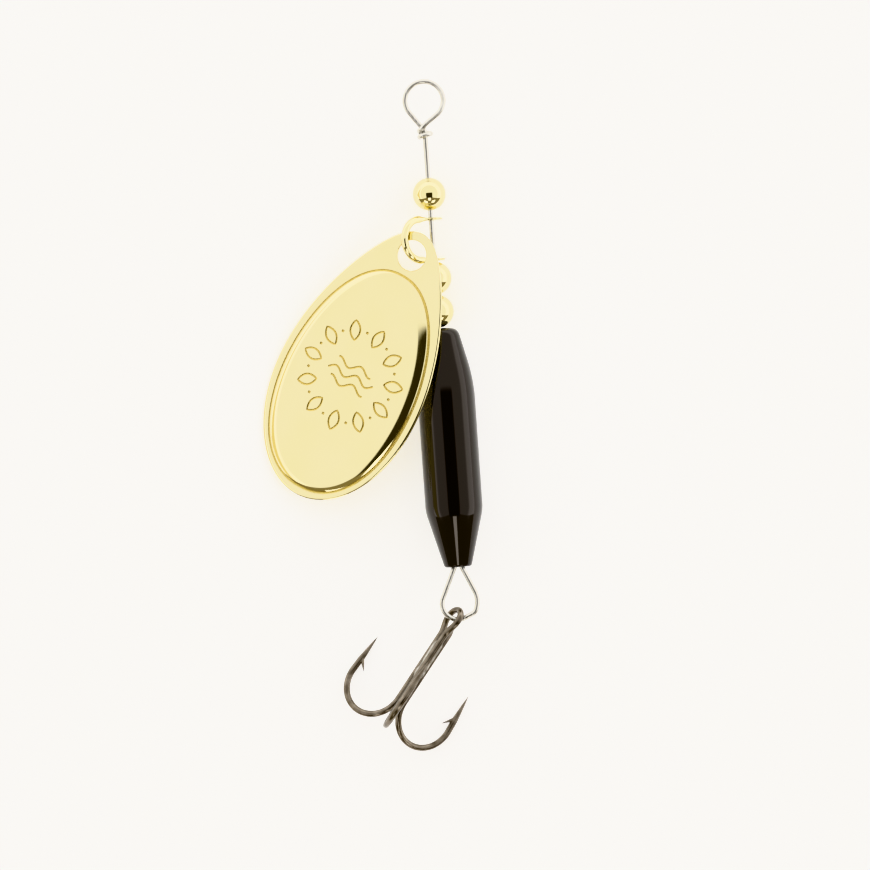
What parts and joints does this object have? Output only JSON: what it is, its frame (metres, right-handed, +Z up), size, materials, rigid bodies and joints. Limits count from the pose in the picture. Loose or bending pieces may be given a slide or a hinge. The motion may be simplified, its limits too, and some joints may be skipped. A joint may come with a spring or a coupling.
{
  "type": "inline spinner",
  "caption": "Inline spinner: a long black weighted body, metal beads and a swinging oval gold blade on a wire shaft with a line eye, and a treble hook.",
  "frame": {"origin": "centre of the line eye, on the shaft's axis", "axes": "+Y along the shaft towards the line; +Z up, square to the surface that the lure lies on; +X across it"},
  "size_m": [0.0323, 0.101, 0.0161],
  "materials": {
    "wire": "bright drawn stainless wire",
    "gold": "polished gold plating",
    "lacquer": "gloss black lacquer over a solid metal weight",
    "hook": "bright black nickel",
    "braze": "plated braze fillet"
  },
  "bodies": {
    "shaft": {"shaft_wire": "wire"},
    "weight": {"weighted_body": "lacquer"},
    "lower_bead": {"lower_bead": "gold"},
    "middle_bead": {"middle_bead": "gold"},
    "clevis": {"clevis": "gold"},
    "blade": {"blade": "gold"},
    "top_bead": {"top_bead": "gold"},
    "treble": {"hook_pair": "hook", "hook_single": "hook", "braze_joint": "braze"}
  },
  "joints": [
    {"name": "body_slide", "type": "slide", "parent": "shaft", "child": "weight", "axis": [0, 1, 0], "range_m": [0, 0.005]},
    {"name": "lower_bead_spin", "type": "hinge", "parent": "weight", "child": "lower_bead", "pos_m": [0, -0.03175, 0], "axis": [0, 1, 0], "continuous": true},
    {"name": "middle_bead_spin", "type": "hinge", "parent": "weight", "child": "middle_bead", "pos_m": [0, -0.02674, 0], "axis": [0, 1, 0], "continuous": true},
    {"name": "clevis_spin", "type": "hinge", "parent": "weight", "child": "clevis", "pos_m": [0, -0.02089, 0], "axis": [0, 1, 0], "continuous": true},
    {"name": "top_bead_spin", "type": "hinge", "parent": "weight", "child": "top_bead", "pos_m": [0, -0.01408, 0], "axis": [0, 1, 0], "continuous": true},
    {"name": "blade_swing", "type": "hinge", "parent": "clevis", "child": "blade", "pos_m": [-0.0032, -0.02318, 0.00301], "axis": [-0.801, 0.5059, -0.3201], "range_deg": [0, 55]},
    {"name": "treble_swing", "type": "hinge", "parent": "shaft", "child": "treble", "pos_m": [-0.00085, -0.07801, 0], "axis": [-0.9336, 0.3584, 0], "range_deg": [-100, 95]}
  ]
}
